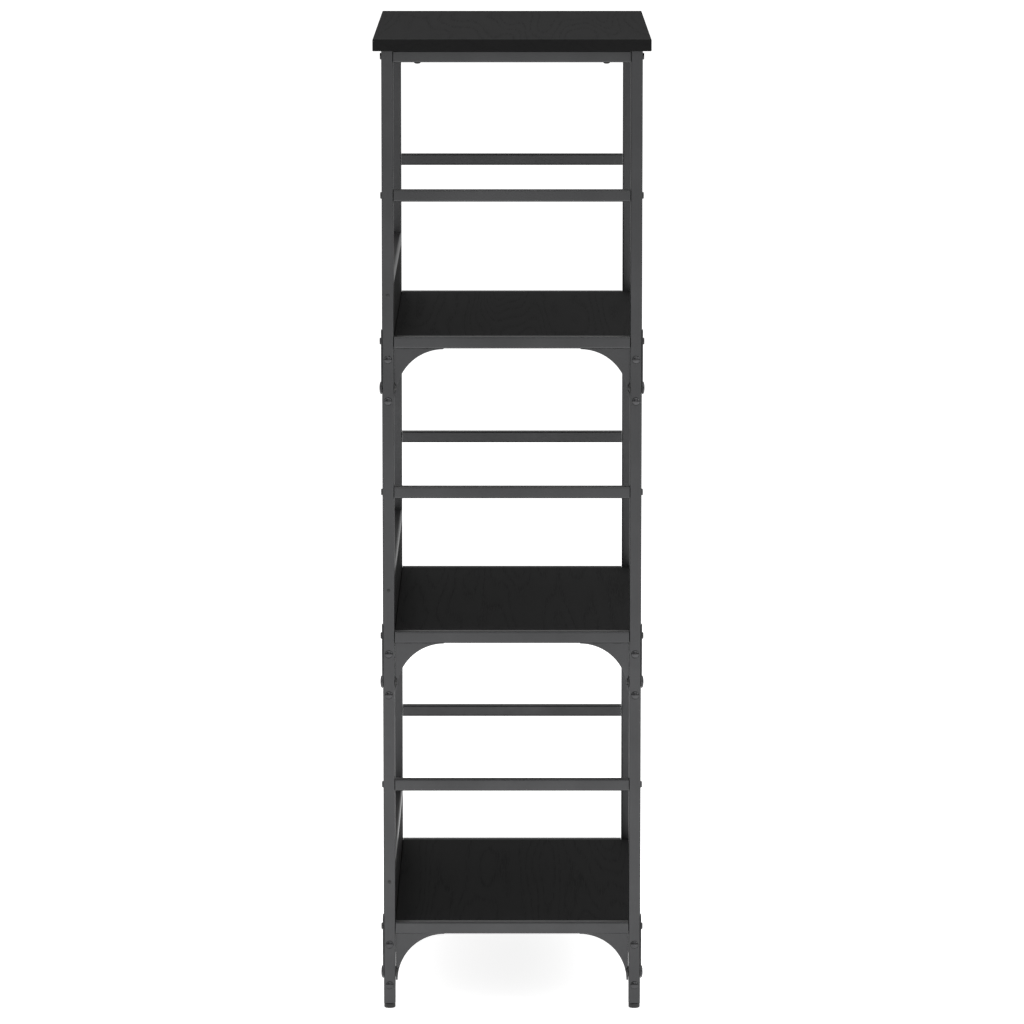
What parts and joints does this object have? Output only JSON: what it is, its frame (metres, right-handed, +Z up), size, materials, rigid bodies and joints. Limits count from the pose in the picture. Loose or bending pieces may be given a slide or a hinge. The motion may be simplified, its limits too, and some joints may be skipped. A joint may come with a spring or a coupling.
{
  "type": "bookcase",
  "caption": "Tall open bookcase: dark steel tube frame with bolted end rails, curved gussets and guard bars, back bars and stops, black boards, an overhanging top and screw-in feet.",
  "frame": {"origin": "middle of the footprint, on the floor", "axes": "+Z up; +X along the bookcase's length, to the right as seen from the front; -Y is the open front, +Y the back that goes to the wall"},
  "size_m": [0.6, 0.35, 1.245],
  "materials": {
    "frame_paint": "satin dark grey powder coat",
    "black_wood": "matt black board with a faint wood grain along its length",
    "foot_plastic": "matt black moulded plastic",
    "plug_plastic": "matt black moulded plastic"
  },
  "bodies": {
    "frame": {"post_front_left": "frame_paint", "post_front_right": "frame_paint", "post_back_left": "frame_paint", "post_back_right": "frame_paint", "top_end_bar_left": "frame_paint", "top_end_bar_right": "frame_paint", "guard_bar_low_left": "frame_paint", "guard_bar_low_right": "frame_paint", "guard_bar_mid_left": "frame_paint", "guard_bar_mid_right": "frame_paint", "guard_bar_top_left": "frame_paint", "guard_bar_top_right": "frame_paint", "end_rail_low_left": "frame_paint", "end_rail_low_right": "frame_paint", "end_rail_mid_left": "frame_paint", "end_rail_mid_right": "frame_paint", "end_rail_top_left": "frame_paint", "end_rail_top_right": "frame_paint", "long_rail_low_front": "frame_paint", "long_rail_low_back": "frame_paint", "long_rail_mid_front": "frame_paint", "long_rail_mid_back": "frame_paint", "long_rail_top_front": "frame_paint", "long_rail_top_back": "frame_paint", "corner_plate_low_front_left": "frame_paint", "corner_plate_low_front_right": "frame_paint", "corner_plate_low_back_left": "frame_paint", "corner_plate_low_back_right": "frame_paint", "corner_plate_mid_front_left": "frame_paint", "corner_plate_mid_front_right": "frame_paint", "corner_plate_mid_back_left": "frame_paint", "corner_plate_mid_back_right": "frame_paint", "corner_plate_top_front_left": "frame_paint", "corner_plate_top_front_right": "frame_paint", "corner_plate_top_back_left": "frame_paint", "corner_plate_top_back_right": "frame_paint", "top_panel": "black_wood", "shelf_board_low": "black_wood", "shelf_board_mid": "black_wood", "shelf_board_top": "black_wood", "back_bar_low": "frame_paint", "back_bar_mid": "frame_paint", "back_bar_top": "frame_paint", "back_stop_low": "black_wood", "back_stop_mid": "black_wood", "back_stop_top": "black_wood", "foot_plug_front_left": "plug_plastic", "foot_plug_front_right": "plug_plastic", "foot_plug_back_left": "plug_plastic", "foot_plug_back_right": "plug_plastic"},
    "foot_front_left": {"foot_front_left": "foot_plastic"},
    "foot_front_right": {"foot_front_right": "foot_plastic"},
    "foot_back_left": {"foot_back_left": "foot_plastic"},
    "foot_back_right": {"foot_back_right": "foot_plastic"}
  },
  "joints": [
    {"name": "foot_front_left_screw", "type": "slide", "parent": "frame", "child": "foot_front_left", "axis": [0, 0, -1], "range_m": [0, 0.01]},
    {"name": "foot_front_right_screw", "type": "slide", "parent": "frame", "child": "foot_front_right", "axis": [0, 0, -1], "range_m": [0, 0.01]},
    {"name": "foot_back_left_screw", "type": "slide", "parent": "frame", "child": "foot_back_left", "axis": [0, 0, -1], "range_m": [0, 0.01]},
    {"name": "foot_back_right_screw", "type": "slide", "parent": "frame", "child": "foot_back_right", "axis": [0, 0, -1], "range_m": [0, 0.01]}
  ]
}
